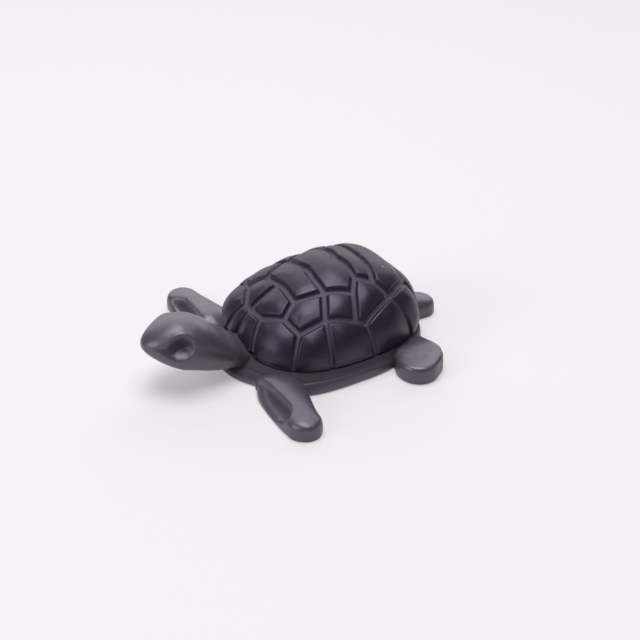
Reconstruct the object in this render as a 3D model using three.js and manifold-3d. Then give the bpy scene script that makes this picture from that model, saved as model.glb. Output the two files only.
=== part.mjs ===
// Toy sea turtle figure, lying on its belly with its head raised and its flippers out to the sides.
// It is moulded in eight plastic pieces: a hollow shell cap, a trunk with the flat belly, and a head,
// four limbs and a tail that plug into the trunk. Nothing on it moves.
// Millimetres. X runs to the head, Y to the turtle's left, Z up; the origin is on the floor, mid-belly.
import * as THREE from 'three';
import { mergeVertices } from 'three/addons/utils/BufferGeometryUtils.js';
import Module from 'manifold-3d';

// The shell cap.
const shellLength = 32.2;
const shellWidth = 27.6;
const shellMiddle = 1.1;
const shellSquareness = 2.7;
const shellTaper = 0.06;
const crownHeight = 14.6;
const crownTilt = -0.21;
const domeFullness = 1.16;
const rimHeight = 3.4;
const neckArch = 0.75;
const shellWall = 1.8;
const seamDepth = 0.55;
const seamRadius = 0.65;
const lipHeight = 0.8;
const lipSeamRadius = 0.3;
const pegDiameter = 2.4;
const pegDepth = 2.4;
const frontPegX = 6.3;
const rearPegX = -8.4;

// The trunk.
const endFlare = 0.6;
const sideFlare = 0.5;
const frontSquareness = 3.2;
const rearSquareness = 2.3;
const bellyEdge = 0.4;
const chestReach = 1.9;
const chestWidth = 14;
const shellOverhang = 0.4;

// The head and neck.
const headReach = 15.6;
const headWidth = 10.2;
const headHeight = 8.2;
const headLift = 7.7;
const neckWidth = 8.8;
const neckHeight = 4.2;
const neckLift = 3.3;
const neckDip = 0.7;
const neckTuck = 4.8;
const snoutLength = 6;
const snoutWidth = 7.8;
const snoutHeight = 5.2;
const snoutLift = 0.75;
const headSquareness = 2.2;
const eyeLength = 7.4;
const eyeHeight = 3.9;
const eyeDepth = 0.9;
const eyeBack = 4.2;
const eyeRise = 1.3;
const eyeInset = 0.6;
const eyeTurn = 0.38;
const eyeRoll = 0.25;
const eyeballLength = 4.2;
const eyeballHeight = 3;
const eyeballThickness = 1.6;
const eyeballSink = 0.25;
const eyeballDrop = 0.4;

// The front flippers.
const flipperReach = 24.4;
const flipperSetback = 1.3;
const flipperWidth = 5.1;
const flipperRootWidth = 7.4;
const flipperThickness = 2.9;
const flipperSwell = 0.4;
const shoulderRise = 0.8;
const flipperTuck = 6;
const flipperSweep = 1.8;
const scoopLength = 10;
const scoopWidth = 3.4;
const scoopDepth = 1;
const scoopBack = 7.8;
const scoopForward = 1.8;
const scoopLean = 0.35;

// The rear feet.
const footReach = 19.8;
const footSetback = 10;
const footWidth = 7.6;
const footRootWidth = 5.4;
const footRound = 5;
const footThickness = 3;
const footSquareness = 4;
const footBluntness = 0.2;
const footTuck = 5;
const footSweep = 2.9;
const dishWidth = 6;
const dishDepth = 0.4;
const dishBack = 4.6;
const dishSetback = 2.2;

// The tail.
const tailReach = 5.7;
const tailWidth = 5.4;
const tailThickness = 3.5;
const tailFall = 0.8;
const tailTuck = 3.6;

// What the limbs share: a squarish cross-section, a blunt end, and a plug that is slimmer and lower inside.
const limbSquareness = 2.9;
const limbBluntness = 0.35;
const plugTaper = 1;
const plugFall = 0.5;
const soleSink = 0.4;

// What every plug keeps to its socket.
const fitGap = 0.3;

const halfLength = shellLength / 2;
const halfWidth = shellWidth / 2;
const domeRise = crownHeight - rimHeight;
const shellFront = shellMiddle + halfLength;
const shellRear = shellMiddle - halfLength;
const trunkLength = shellLength + endFlare * 2;
const trunkWidth = shellWidth + sideFlare * 2;
const flipperX = shellMiddle + trunkLength / 2 - flipperSetback;
const footX = shellMiddle - trunkLength / 2 + footSetback;

const wasm = await Module();
wasm.setup();

// A closed surface becomes a solid that can be joined and cut.
function solid(geometry) {
  const bare = geometry.clone();
  bare.deleteAttribute('normal');
  bare.deleteAttribute('uv');
  const merged = mergeVertices(bare, 1e-4);
  return new wasm.Manifold(
    new wasm.Mesh({
      numProp: 3,
      vertProperties: merged.attributes.position.array,
      triVerts: new Uint32Array(merged.index.array),
    }),
  );
}

function surface(body) {
  const mesh = body.getMesh();
  const geometry = new THREE.BufferGeometry();
  geometry.setAttribute('position', new THREE.BufferAttribute(new Float32Array(mesh.vertProperties), 3));
  geometry.setIndex(new THREE.BufferAttribute(new Uint32Array(mesh.triVerts), 1));
  geometry.computeVertexNormals();
  return geometry;
}

// The other side's copy of a surface: the turtle is the same left and right.
function mirrored(geometry) {
  const copy = geometry.clone().scale(1, -1, 1);
  const order = copy.index.array;
  for (let i = 0; i < order.length; i += 3) {
    [order[i + 1], order[i + 2]] = [order[i + 2], order[i + 1]];
  }
  return copy;
}

function ellipsoid(sizes, place, turn) {
  const geometry = new THREE.SphereGeometry(0.5, 20, 12);
  geometry.scale(...sizes);
  geometry.rotateX(turn[0]);
  geometry.rotateY(turn[1]);
  geometry.rotateZ(turn[2]);
  geometry.translate(...place);
  return geometry;
}

// A skin over a stack of rings that run counterclockwise seen from above.
function wrapRings(rings, closed) {
  const order = [];
  const count = rings[0].length;
  const last = closed ? rings.length : rings.length - 1;
  for (let r = 0; r < last; r++) {
    for (let i = 0; i < count; i++) {
      const next = (i + 1) % count;
      const low = r * count;
      const high = ((r + 1) % rings.length) * count;
      order.push(low + i, low + next, high + i);
      order.push(low + next, high + next, high + i);
    }
  }
  return order;
}

function skin(points, order) {
  const geometry = new THREE.BufferGeometry().setFromPoints(points);
  geometry.setIndex(order);
  return geometry;
}

// A stack closed below by a floor and above by a peak.
function stackGeometry(rings, peak) {
  const order = wrapRings(rings, false);
  const count = rings[0].length;
  const base = rings.length * count;
  const last = base - count;
  const foot = rings[0].reduce((sum, point) => sum.add(point), new THREE.Vector3()).divideScalar(count);
  for (let i = 0; i < count; i++) {
    const next = (i + 1) % count;
    order.push(base, next, i);
    order.push(base + 1, last + i, last + next);
  }
  return skin([...rings.flat(), foot, peak], order);
}

// A ring-shaped bead: the last ring joins the first.
function wrapGeometry(rings) {
  return skin(rings.flat(), wrapRings(rings, true));
}

// The rim lifts toward the front, where the neck comes out; u runs from -1 at the tail to 1 at the head.
function rimAt(u) {
  return rimHeight + neckArch * Math.max(0, u) ** 2;
}

// How far a squarish oval of half-size 1 reaches along a bearing.
function ovalReach(c, s, squareness) {
  return (Math.abs(c) ** squareness + Math.abs(s) ** squareness) ** (-1 / squareness);
}

// A place on the dome: tilt is 0 at the crown and a quarter turn at the rim. Its plan is a squarish oval,
// wider in front, and its crown lies a little behind the middle.
function domePlace(tilt, bearing) {
  const c = Math.cos(bearing);
  const s = Math.sin(bearing);
  const stretch = ovalReach(c, s, shellSquareness);
  const u = Math.sin(tilt) * c * stretch;
  const x = shellMiddle + halfLength * u;
  const y = halfWidth * Math.sin(tilt) * s * stretch * (1 + shellTaper * u);
  const rise = Math.max(0, Math.cos(tilt)) ** domeFullness * (1 + crownTilt * u);
  return new THREE.Vector3(x, y, rimAt(u) + domeRise * rise);
}

// The same place, lifted square to the dome.
function domePoint(tilt, bearing, lift) {
  const step = 0.01;
  const low = Math.max(step, Math.min(tilt, Math.PI / 2 - step));
  const place = domePlace(tilt, bearing);
  const down = domePlace(low + step, bearing).sub(domePlace(low - step, bearing));
  const round = domePlace(low, bearing + step).sub(domePlace(low, bearing - step));
  return place.addScaledVector(down.cross(round).normalize(), lift);
}

// The dome's solid, swelled outward by grow, with a straight skirt below the rim.
function domeSolid(grow, skirt, rows, columns) {
  const rings = [];
  for (let r = 0; r < rows; r++) {
    const ring = [];
    for (let i = 0; i < columns; i++) {
      ring.push(domePoint(((1 - r / rows) * Math.PI) / 2, (i / columns) * Math.PI * 2, grow));
    }
    rings.push(ring);
  }
  if (skirt > 0) {
    rings.unshift(rings[0].map((point) => new THREE.Vector3(point.x, point.y, point.z - skirt)));
  }
  return solid(stackGeometry(rings, domePoint(0, 0, grow)));
}

// The seams between the scutes are straight runs on the dome's unrolled chart, whose two numbers are the
// distances forward and left of the crown, 1 at the rim. The left side's junctions are given, and the
// right side mirrors them.
const noseSeamRim = [0.97, -0.05];
const noseSeam = [0.58, -0.04];
const frontSeam = [0.31, -0.04];
const browCorner = [0.56, 0.13];
const browRim = [0.94, 0.31];
const frontCorner = [0.3, 0.2];
const shoulder = [0.42, 0.28];
const firstPoint = [0.4, 0.45];
const firstRim = [0.67, 0.73];
const secondCorner = [0.12, 0.27];
const secondPoint = [0.21, 0.47];
const secondRim = [0.34, 0.94];
const thirdInner = [-0.11, 0.25];
const thirdCorner = [-0.05, 0.38];
const thirdPoint = [0.01, 0.6];
const thirdLow = [-0.06, 0.64];
const thirdRim = [-0.15, 0.99];
const fourthInner = [-0.21, 0.32];
const fourthPoint = [-0.29, 0.46];
const fourthRim = [-0.6, 0.8];
const rearCorner = [-0.5, 0.3];
const rearRim = [-0.85, 0.52];
const secondMid = [0.11, 0];
const thirdMid = [-0.1, 0];
const fourthMid = [-0.26, 0];
const rearMid = [-0.56, 0];

const middleSeams = [
  [noseSeamRim, noseSeam],
  [noseSeam, frontSeam],
];
const sideSeams = [
  [browCorner, noseSeam],
  [frontCorner, frontSeam],
  [secondCorner, secondMid],
  [thirdInner, thirdMid],
  [fourthInner, fourthMid],
  [rearCorner, rearMid],
  [browCorner, browRim],
  [browCorner, shoulder],
  [shoulder, frontCorner],
  [shoulder, firstPoint],
  [firstPoint, firstRim],
  [firstPoint, secondPoint],
  [frontCorner, secondCorner],
  [secondCorner, secondPoint],
  [secondPoint, secondRim],
  [secondCorner, thirdCorner],
  [thirdInner, thirdCorner],
  [thirdCorner, thirdPoint],
  [secondPoint, thirdPoint],
  [thirdPoint, thirdLow],
  [thirdLow, thirdRim],
  [thirdLow, fourthPoint],
  [fourthPoint, fourthRim],
  [thirdInner, fourthInner],
  [fourthInner, fourthPoint],
  [fourthPoint, rearCorner],
  [rearCorner, rearRim],
];

// The other side's junction: those on the middle seam stay where they are.
function otherSide(junction) {
  return junction === noseSeam || junction === frontSeam ? junction : [junction[0], -junction[1]];
}

// One seam: a round-bottomed groove along the dome, carried a little past both junctions.
function seamCutter(from, to) {
  const points = [];
  const stops = 5;
  const overrun = 0.04;
  for (let i = 0; i <= stops; i++) {
    const t = (1 + overrun * 2) * (i / stops) - overrun;
    const a = from[0] + (to[0] - from[0]) * t;
    const b = from[1] + (to[1] - from[1]) * t;
    const tilt = (Math.min(1, Math.hypot(a, b)) * Math.PI) / 2;
    points.push(domePoint(tilt, Math.atan2(b, a), seamRadius - seamDepth));
  }
  const path = new THREE.CatmullRomCurve3(points);
  const round = new THREE.Shape().absarc(0, 0, seamRadius, 0, Math.PI * 2);
  const steps = Math.max(2, Math.ceil(path.getLength() / (seamRadius * 4)));
  const sweep = { steps, curveSegments: 3, bevelEnabled: false, extrudePath: path };
  return solid(new THREE.ExtrudeGeometry(round, sweep));
}

// The thin lip along the rim: a fine seam all round, just above the lower edge.
function lipCutter() {
  const stops = 48;
  const sides = 6;
  const rings = [];
  for (let j = 0; j < sides; j++) {
    const angle = (j / sides) * Math.PI * 2;
    const ring = [];
    for (let i = 0; i < stops; i++) {
      const point = domePoint(Math.PI / 2, (i / stops) * Math.PI * 2, lipSeamRadius * Math.cos(angle));
      point.z += lipHeight + lipSeamRadius * Math.sin(angle);
      ring.push(point);
    }
    rings.push(ring);
  }
  return solid(wrapGeometry(rings));
}

// A limb: rounded cross-sections strung along a spine, with a flat root and a rounded tip.
// Each station is [x, y, z, width, height]. The tip's height falls off slower than its width by bluntness,
// and grow swells the limb into the shape of its socket.
function limbGeometry(stations, tipLength, squareness, bluntness, grow) {
  const ringPoints = 20;
  const bodyRings = 9;
  const tipRings = 5;
  const spine = new THREE.CatmullRomCurve3(stations.map((s) => new THREE.Vector3(s[0], s[1], s[2])));
  const spread = new THREE.CatmullRomCurve3(stations.map((s) => new THREE.Vector3(s[3] / 2, s[4] / 2, 0)));
  const tipStart = 1 - tipLength / spine.getLength();
  const positions = [];
  const order = [];
  const addRing = (u, shrink) => {
    const t = spine.getUtoTmapping(u);
    const middle = spine.getPoint(t);
    const half = spread.getPoint(t);
    const along = spine.getTangent(t);
    const side = new THREE.Vector3(-along.y, along.x, 0).normalize();
    if (u === 0) {
      middle.addScaledVector(along, -grow);
    }
    for (let i = 0; i < ringPoints; i++) {
      const angle = (i / ringPoints) * Math.PI * 2;
      const across = Math.sign(Math.cos(angle)) * Math.abs(Math.cos(angle)) ** (2 / squareness);
      const rise = Math.sign(Math.sin(angle)) * Math.abs(Math.sin(angle)) ** (2 / squareness);
      const point = middle.clone().addScaledVector(side, across * (half.x * shrink + grow));
      point.z += rise * (half.y * shrink ** bluntness + grow);
      positions.push(point.x, point.y, point.z);
    }
  };
  for (let i = 0; i < bodyRings; i++) {
    addRing((tipStart * i) / bodyRings, 1);
  }
  for (let i = 0; i < tipRings; i++) {
    const turn = (i / tipRings) * (Math.PI / 2);
    addRing(tipStart + (1 - tipStart) * Math.sin(turn), Math.cos(turn));
  }
  const rings = bodyRings + tipRings;
  for (let r = 0; r < rings - 1; r++) {
    for (let i = 0; i < ringPoints; i++) {
      const next = (i + 1) % ringPoints;
      const low = r * ringPoints;
      const high = low + ringPoints;
      order.push(low + i, low + next, high + i);
      order.push(low + next, high + next, high + i);
    }
  }
  const root = rings * ringPoints;
  const tip = root + 1;
  const rootPoint = spine.getPoint(0).addScaledVector(spine.getTangent(0), -grow);
  const tipPoint = spine.getPoint(1).addScaledVector(spine.getTangent(1), grow);
  positions.push(...rootPoint.toArray(), ...tipPoint.toArray());
  for (let i = 0; i < ringPoints; i++) {
    const next = (i + 1) % ringPoints;
    const last = (rings - 1) * ringPoints;
    order.push(root, next, i);
    order.push(tip, last + i, last + next);
  }
  const geometry = new THREE.BufferGeometry();
  geometry.setAttribute('position', new THREE.Float32BufferAttribute(positions, 3));
  geometry.setIndex(order);
  return geometry;
}

// A station of a limb that lies on the floor: its cross-section dips below the floor and is cut flat there.
function soleStation(x, y, top, width) {
  return [x, y, (top * (1 - soleSink)) / 2, width, top * (1 + soleSink)];
}

const floorSpan = (shellLength + headReach) * 4;
const floorDepth = crownHeight * 2;
const floorBox = new THREE.BoxGeometry(floorSpan, floorSpan, floorDepth);
const floor = solid(floorBox.translate(0, 0, -floorDepth / 2));

// How the neck climbs: for each share of the reach, how far its nape and its throat have come to the head's.
const neckClimb = [
  [0.12, 0.3, 0],
  [0.28, 0.65, 0.1],
  [0.45, 0.92, 0.45],
  [0.62, 1, 0.85],
];

// Head and neck: the neck climbs from its plug in the trunk to an egg-shaped head.
function headGeometry(grow) {
  const blend = (from, to, share) => from + (to - from) * share;
  const stations = [
    [shellFront - neckTuck, 0, neckLift - neckDip, neckWidth, neckHeight - plugFall],
    [shellFront - plugFall, 0, neckLift, neckWidth, neckHeight],
  ];
  for (const [along, risen, lifted] of neckClimb) {
    const x = shellFront + headReach * along;
    const width = blend(neckWidth, headWidth, risen ** 2);
    const nape = blend(neckLift + neckHeight / 2, headLift + headHeight / 2, risen);
    const throat = blend(neckLift - neckHeight / 2, headLift - headHeight / 2, lifted);
    stations.push([x, 0, (nape + throat) / 2, width, nape - throat]);
  }
  stations.push([shellFront + headReach, 0, headLift + snoutLift, snoutWidth, snoutHeight]);
  return limbGeometry(stations, snoutLength, headSquareness, 1, grow);
}

// An eye's hollow under the brow; flip is 1 on the left and -1 on the right.
function eyeHollow(flip) {
  const x = shellFront + headReach - eyeBack;
  const y = (headWidth / 2 - eyeInset) * flip;
  const sizes = [eyeLength, eyeDepth * 2, eyeHeight];
  return solid(ellipsoid(sizes, [x, y, headLift + eyeRise], [eyeRoll * flip, 0, -eyeTurn * flip]));
}

// The eyeball that stands in the hollow, a little behind and below its middle.
function eyeball(flip) {
  const x = shellFront + headReach - eyeBack - eyeballDrop;
  const y = (headWidth / 2 - eyeInset - eyeballSink - eyeballThickness / 2) * flip;
  const z = headLift + eyeRise - eyeballDrop;
  const sizes = [eyeballLength, eyeballThickness, eyeballHeight];
  return solid(ellipsoid(sizes, [x, y, z], [eyeRoll * flip, 0, -eyeTurn * flip]));
}

// How the flipper runs out: for each share of its span, the share of the sweep and of the narrowing done,
// and of the shoulder's rise.
const flipperRun = [
  [0.2, 0.25, 0, 1],
  [0.45, 0.6, 0.2, 0.4],
  [0.72, 0.95, 0.65, 0],
  [1, 1, 1, 0],
];

// Front flipper: from its plug under the shell's shoulder straight out to a thick rounded toe.
function flipperGeometry(grow) {
  const root = trunkWidth / 2 - flipperTuck;
  const rootX = flipperX - flipperSweep;
  const stations = [soleStation(rootX, root, flipperThickness - plugFall, flipperRootWidth - plugTaper)];
  for (const [along, swept, narrowed, raised] of flipperRun) {
    const y = root + (flipperReach - root) * along;
    const swell = flipperSwell * Math.sin(along * Math.PI) + shoulderRise * raised;
    const top = flipperThickness + swell;
    const width = flipperRootWidth + (flipperWidth - flipperRootWidth) * narrowed;
    stations.push(soleStation(rootX + flipperSweep * swept, y, top, width));
  }
  return limbGeometry(stations, flipperWidth / 2, limbSquareness, limbBluntness, grow);
}

// How the foot runs out, in the same shares.
const footRun = [
  [0.25, 0, 0.4],
  [0.5, 0.08, 1.25],
  [0.7, 0.5, 1],
  [1, 1, 1],
];

// Rear foot: a short paddle that fans out from a narrow root and turns forward at its end.
function footGeometry(grow) {
  const root = trunkWidth / 2 - footTuck;
  const rootX = footX - footSweep;
  const stations = [soleStation(rootX, root, footThickness - plugFall, footRootWidth - plugTaper)];
  for (const [along, swept, widened] of footRun) {
    const y = root + (footReach - root) * along;
    const width = footRootWidth + (footWidth - footRootWidth) * widened;
    stations.push(soleStation(rootX + footSweep * swept, y, footThickness, width));
  }
  return limbGeometry(stations, footRound, footSquareness, footBluntness, grow);
}

// Tail: a short stub that falls a little to its end.
function tailGeometry(grow) {
  const stations = [
    soleStation(shellRear + tailTuck, 0, tailThickness - plugFall, tailWidth - plugTaper),
    soleStation(shellRear - endFlare, 0, tailThickness, tailWidth),
    soleStation(shellRear - tailReach, 0, tailThickness - tailFall, tailWidth),
  ];
  return limbGeometry(stations, tailWidth / 2, limbSquareness, limbBluntness, grow);
}

// The trunk's outline at one level: a squarish oval about the shell's middle, wider in front.
// The chest stands out from it under the neck.
function trunkRing(length, width, front, rear, chest, levelAt) {
  const ring = [];
  const points = 48;
  for (let i = 0; i < points; i++) {
    const bearing = (i / points) * Math.PI * 2;
    const c = Math.cos(bearing);
    const s = Math.sin(bearing);
    const reach = ovalReach(c, s, c > 0 ? front : rear);
    const u = c * reach;
    const y = (width / 2) * s * reach * (1 + shellTaper * u);
    const bulge = c > 0 ? chest * Math.max(0, 1 - ((y * 2) / chestWidth) ** 2) : 0;
    ring.push(new THREE.Vector3(shellMiddle + (length / 2) * u + bulge, y, levelAt(u)));
  }
  return ring;
}

// The trunk's side below the ledge, and the ledge itself, which follows the shell's lower edge.
function sideRing(inset, level) {
  const length = trunkLength - inset * 2;
  const width = trunkWidth - inset * 2;
  return trunkRing(length, width, frontSquareness, rearSquareness, chestReach, () => level);
}

function ledgeRing(inset) {
  const length = shellLength - inset * 2;
  const width = shellWidth - inset * 2;
  return trunkRing(length, width, shellSquareness, shellSquareness, 0, (u) => rimAt(u) - fitGap);
}

// The inside of the shell's roof on the middle line.
function roofAt(x) {
  const tilt = Math.asin(Math.abs(x - shellMiddle) / halfLength);
  return domePlace(tilt, x > shellMiddle ? 0 : Math.PI).z - shellWall;
}

function pegGeometry(x, diameter, low, high) {
  const peg = new THREE.CylinderGeometry(diameter / 2, diameter / 2, high - low, 16);
  peg.rotateX(Math.PI / 2);
  peg.translate(x, 0, (low + high) / 2);
  return peg;
}

// The shell cap: a dome with its seams, open below, with two pegs inside and a notch for the neck.
let carapace = domeSolid(0, 0, 11, 44).subtract(domeSolid(-shellWall, shellWall, 6, 28));
for (const [from, to] of sideSeams) {
  carapace = carapace.subtract(seamCutter(from, to)).subtract(seamCutter(otherSide(from), otherSide(to)));
}
for (const [from, to] of middleSeams) {
  carapace = carapace.subtract(seamCutter(from, to));
}
carapace = carapace.subtract(lipCutter());
for (const x of [frontPegX, rearPegX]) {
  const low = roofAt(x) - pegDepth;
  carapace = carapace.add(solid(pegGeometry(x, pegDiameter, low, roofAt(x) + shellWall / 2)));
}
carapace = carapace.subtract(solid(headGeometry(fitGap)));

// The trunk: the belly and sides up to the ledge, and the core that fills the shell, with the sockets.
const sideRings = [
  sideRing(bellyEdge, 0),
  sideRing(0, bellyEdge),
  sideRing(0, rimHeight / 2),
  ledgeRing(shellOverhang),
  ledgeRing(shellWall * 2),
];
const ledgeMiddle = new THREE.Vector3(shellMiddle, 0, rimHeight - fitGap);
const core = domeSolid(-shellWall - fitGap, shellWall, 6, 28);
let trunk = solid(stackGeometry(sideRings, ledgeMiddle)).add(core);
for (const socket of [flipperGeometry(fitGap), footGeometry(fitGap)]) {
  trunk = trunk.subtract(solid(socket)).subtract(solid(mirrored(socket)));
}
trunk = trunk.subtract(solid(headGeometry(fitGap))).subtract(solid(tailGeometry(fitGap)));
for (const x of [frontPegX, rearPegX]) {
  const low = roofAt(x) - pegDepth - fitGap;
  trunk = trunk.subtract(solid(pegGeometry(x, pegDiameter + fitGap * 2, low, roofAt(x) + shellWall)));
}

// What lies under the shell keeps clear of it.
const shellClear = domeSolid(fitGap, fitGap, 8, 36);

// The head, with its eyes moulded in.
let head = solid(headGeometry(0));
for (const flip of [1, -1]) {
  head = head.subtract(eyeHollow(flip)).add(eyeball(flip));
}

// The left flipper, scooped along its leading side.
const scoop = ellipsoid(
  [scoopWidth, scoopLength, scoopDepth * 4],
  [flipperX + scoopForward, flipperReach - scoopBack, flipperThickness + scoopDepth],
  [0, scoopLean, 0],
);
const flipper = solid(flipperGeometry(0)).subtract(floor).subtract(shellClear).subtract(solid(scoop));

// The left foot, with a shallow dish on top.
const dish = ellipsoid(
  [dishWidth, dishWidth, dishDepth * 6],
  [footX - dishSetback, footReach - dishBack, footThickness + dishDepth * 2],
  [0, 0, 0],
);
const foot = solid(footGeometry(0)).subtract(floor).subtract(shellClear).subtract(solid(dish));

const tail = solid(tailGeometry(0)).subtract(floor).subtract(shellClear);

// Satin near-black shell over a paler, more matt body.
const shellPlastic = { color: 0x2b2830, roughness: 0.42, metalness: 0 };
const bodyPlastic = { color: 0x4a4752, roughness: 0.55, metalness: 0 };

// flip is -1 for a right-hand piece made from its left-hand twin.
function piece(name, body, look, flip) {
  const mesh = new THREE.Mesh(surface(body), new THREE.MeshStandardMaterial(look));
  mesh.name = name;
  mesh.scale.y = flip;
  return mesh;
}

const turtle = new THREE.Group();
turtle.add(piece('carapace', carapace, shellPlastic, 1));
turtle.add(piece('trunk', trunk, bodyPlastic, 1));
turtle.add(piece('head', head, bodyPlastic, 1));
turtle.add(piece('front_left_flipper', flipper, bodyPlastic, 1));
turtle.add(piece('front_right_flipper', flipper, bodyPlastic, -1));
turtle.add(piece('rear_left_foot', foot, bodyPlastic, 1));
turtle.add(piece('rear_right_foot', foot, bodyPlastic, -1));
turtle.add(piece('tail', tail, bodyPlastic, 1));

export default turtle;
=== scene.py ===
"""A toy sea turtle figure of moulded vinyl, lying on its belly on a pale table top.

Sizes are in millimetres and angles in radians, with +X toward the head, +Y to the turtle's left and +Z up.
"""
import math

import bpy
import numpy as np
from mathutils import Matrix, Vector


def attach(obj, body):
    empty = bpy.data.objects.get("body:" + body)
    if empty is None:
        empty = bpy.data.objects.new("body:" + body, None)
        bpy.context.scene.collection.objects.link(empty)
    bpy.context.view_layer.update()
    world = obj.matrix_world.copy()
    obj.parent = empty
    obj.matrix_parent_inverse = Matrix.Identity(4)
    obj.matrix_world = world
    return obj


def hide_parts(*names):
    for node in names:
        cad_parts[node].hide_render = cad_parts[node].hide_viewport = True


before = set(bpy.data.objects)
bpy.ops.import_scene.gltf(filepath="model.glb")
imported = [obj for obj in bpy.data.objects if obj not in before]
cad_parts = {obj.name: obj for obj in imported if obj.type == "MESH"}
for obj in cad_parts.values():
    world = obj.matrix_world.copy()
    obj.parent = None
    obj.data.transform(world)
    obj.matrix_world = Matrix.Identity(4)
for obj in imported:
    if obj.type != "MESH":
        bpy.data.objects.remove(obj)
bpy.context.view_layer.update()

# Trunk: the body under the shell, one solid moulding of charcoal vinyl with a flat belly.
# Its side has a fine groove and leans in to a ledge that carries the shell's rim, and a domed core
# fills the shell, which is pressed on over it.
MM = 0.001
shell_length = 32.2
shell_width = 27.6
shell_middle = 1.1
shell_squareness = 2.7
shell_taper = 0.06
shell_wall = 1.8
shell_overhang = 0.4
crown_height = 14.6
crown_tilt = -0.21
dome_fullness = 1.16
rim_height = 3.4
neck_arch = 0.75
fit_gap = 0.3
trunk_longer = 1.2
trunk_wider = 1.0
trunk_length = shell_length + trunk_longer
trunk_width = shell_width + trunk_wider
trunk_front_squareness = 3.2
trunk_rear_squareness = 2.3
belly_edge = 0.4
chest_reach = 1.9
chest_width = 14
lift_start = 0.5
groove_height = 2.0
groove_depth = 0.12
groove_width = 0.16
groove_fade = (-6, 0)
# Painted shade on the trunk: in the fine groove, on the side's top under the shell's rim, and on the chest
# under the neck.
groove_shade = 0.85
side_shade = 0.95
side_shade_rise = (1.2, 2.6)
chest_shade_run = (14, 16)
chest_shade_rise = (0.4, 1.2)
trunk_columns = 180
belly_rows = 6
side_rows = 50
core_rows = 16
# Heights on the side, each with the share of the way that it leans in toward the ledge.
side_lean = [(0.4, 0), (0.8, 0.04), (1.3, 0.17), (2.5, 0.72), (2.8, 0.87), (3.1, 1)]


def smooth(low, high, value):
    """0 below low, 1 above high, with an even rise between them."""
    share = np.clip((value - low) / (high - low), 0, 1)
    return share * share * (3 - 2 * share)


def oval_reach(c, s, squareness):
    """How far a squarish oval of half-size 1 reaches along the bearing with this cosine and sine."""
    return (np.abs(c) ** squareness + np.abs(s) ** squareness) ** (-1 / squareness)


def rim_level(u):
    """The height of the shell's rim, which lifts over the neck; u runs from -1 at the tail to 1."""
    return rim_height + neck_arch * np.maximum(0, u) ** 2


def dome_place(tilt, bearing):
    """A place on the shell's dome: tilt is 0 at the crown and a quarter turn at the rim."""
    c = np.cos(bearing)
    s = np.sin(bearing)
    stretch = oval_reach(c, s, shell_squareness)
    u = np.sin(tilt) * c * stretch
    x = shell_middle + shell_length / 2 * u
    y = shell_width / 2 * np.sin(tilt) * s * stretch * (1 + shell_taper * u)
    rise = np.maximum(0, np.cos(tilt)) ** dome_fullness * (1 + crown_tilt * u)
    return np.stack([x, y, rim_level(u) + (crown_height - rim_height) * rise], -1)


def dome_outward(tilt, bearing):
    """The direction square to the dome."""
    step = 0.01
    low = np.clip(tilt, step, math.pi / 2 - step)
    down = dome_place(low + step, bearing) - dome_place(low - step, bearing)
    around = dome_place(low, bearing + step) - dome_place(low, bearing - step)
    outward = np.cross(down, around)
    return outward / np.linalg.norm(outward, axis=-1, keepdims=True)


def trunk_outline(length, width, front_squareness, rear_squareness, chest, bearing):
    """A level outline of the trunk: x, y and the share u of the way to its front, where the chest is."""
    c = np.cos(bearing)
    s = np.sin(bearing)
    reach = oval_reach(c, s, np.where(c > 0, front_squareness, rear_squareness))
    u = c * reach
    y = width / 2 * s * reach * (1 + shell_taper * u)
    bulge = np.where(c > 0, chest * np.maximum(0, 1 - (y * 2 / chest_width) ** 2), 0)
    return shell_middle + length / 2 * u + bulge, y, u


def closed_stack(rings, first, last):
    """A stack of rings, counterclockwise seen from above and lowest first, closed by fans to two points."""
    columns = len(rings[0])
    points = np.concatenate([np.concatenate(rings), [first, last]])
    base = len(points) - 2
    top = base - columns
    faces = []
    for low in range(0, top, columns):
        high = low + columns
        for column in range(columns):
            after = (column + 1) % columns
            faces.append((low + column, low + after, high + after, high + column))
    for column in range(columns):
        after = (column + 1) % columns
        faces.append((base, after, column))
        faces.append((base + 1, top + column, top + after))
    return points, faces


def new_piece(name, points, faces, material, crease=40, recess=()):
    """A mesh object from points in mm, smooth apart from edges sharper than crease degrees.

    The last argument gives each of the first points how much painted shade its colour takes, from 0 to 1.
    """
    mesh = bpy.data.meshes.new(name)
    mesh.from_pydata((np.asarray(points) * MM).tolist(), [], faces)
    mesh.validate()
    mesh.polygons.foreach_set("use_smooth", [True] * len(mesh.polygons))
    mesh.set_sharp_from_angle(angle=math.radians(crease))
    mesh.materials.append(material)
    depths = np.zeros(len(mesh.vertices))
    depths[:len(recess)] = recess
    mesh.attributes.new("recess", "FLOAT", "POINT").data.foreach_set("value", depths)
    piece = bpy.data.objects.new(name, mesh)
    bpy.context.scene.collection.objects.link(piece)
    return piece


def colour(hex_value):
    """An sRGB hex colour as linear red, green, blue and alpha."""
    parts = [int(hex_value[i:i + 2], 16) / 255 for i in (1, 3, 5)]
    return [p / 12.92 if p <= 0.04045 else ((p + 0.055) / 1.055) ** 2.4 for p in parts] + [1]


def add_node(tree, kind, inputs=None, **settings):
    """A node with its settings, and each input set to a value or linked to another node's socket."""
    node = tree.nodes.new(kind)
    for name, value in settings.items():
        setattr(node, name, value)
    for name, value in (inputs or {}).items():
        if isinstance(value, bpy.types.NodeSocket):
            tree.links.new(value, node.inputs[name])
        else:
            node.inputs[name].default_value = value
    return node


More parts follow.
